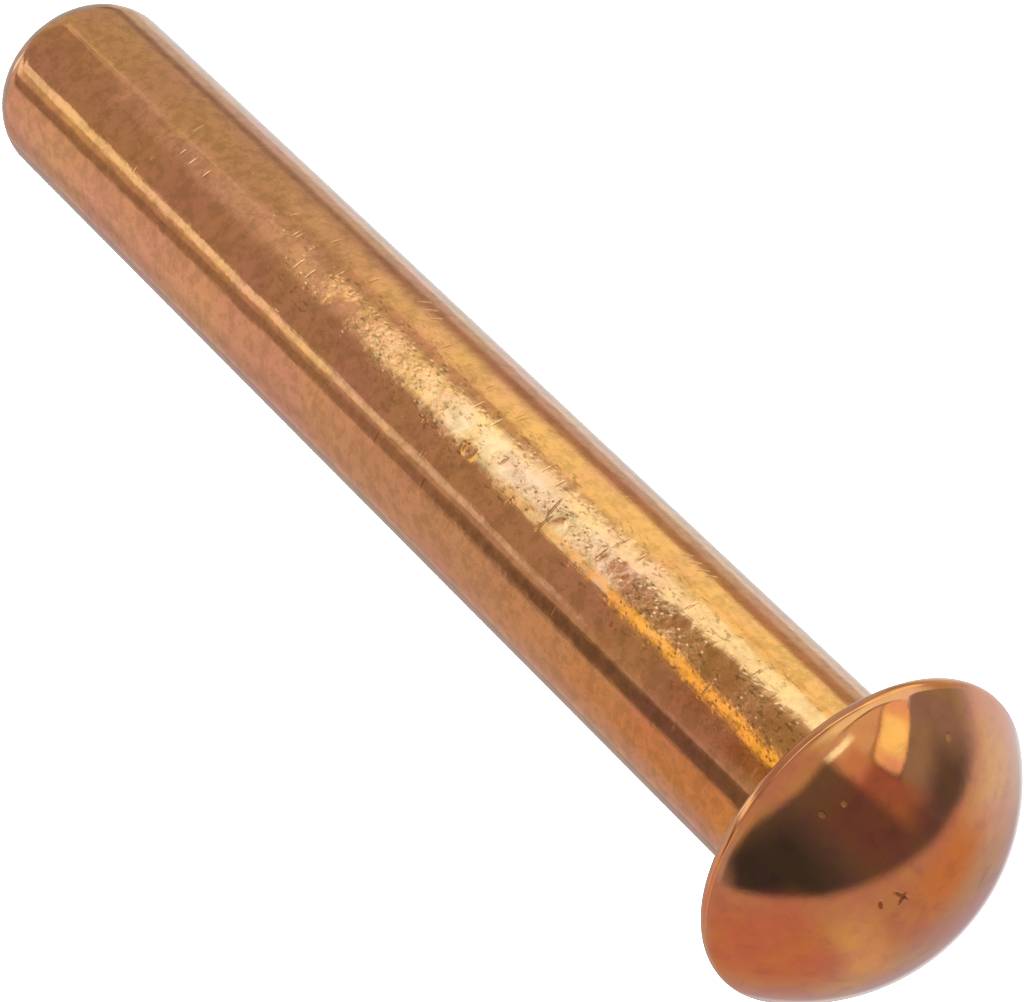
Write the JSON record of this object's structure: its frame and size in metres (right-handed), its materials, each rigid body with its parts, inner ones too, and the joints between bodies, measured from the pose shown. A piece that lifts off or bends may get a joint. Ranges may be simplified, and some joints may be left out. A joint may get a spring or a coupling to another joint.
{
  "type": "round head rivet",
  "caption": "Solid round head rivet with a domed head on a long plain round shank, in bare copper.",
  "frame": {"origin": "centre of the flat on the shank's end, where the rivet stands", "axes": "+Z along the axis, from the shank's end to the top of the head"},
  "size_m": [0.0136, 0.0136, 0.0595],
  "materials": {
    "copper": "bare cold formed copper, half polished, with light tarnish and scuffs"
  },
  "bodies": {
    "root": {"rivet": "copper"}
  },
  "joints": []
}
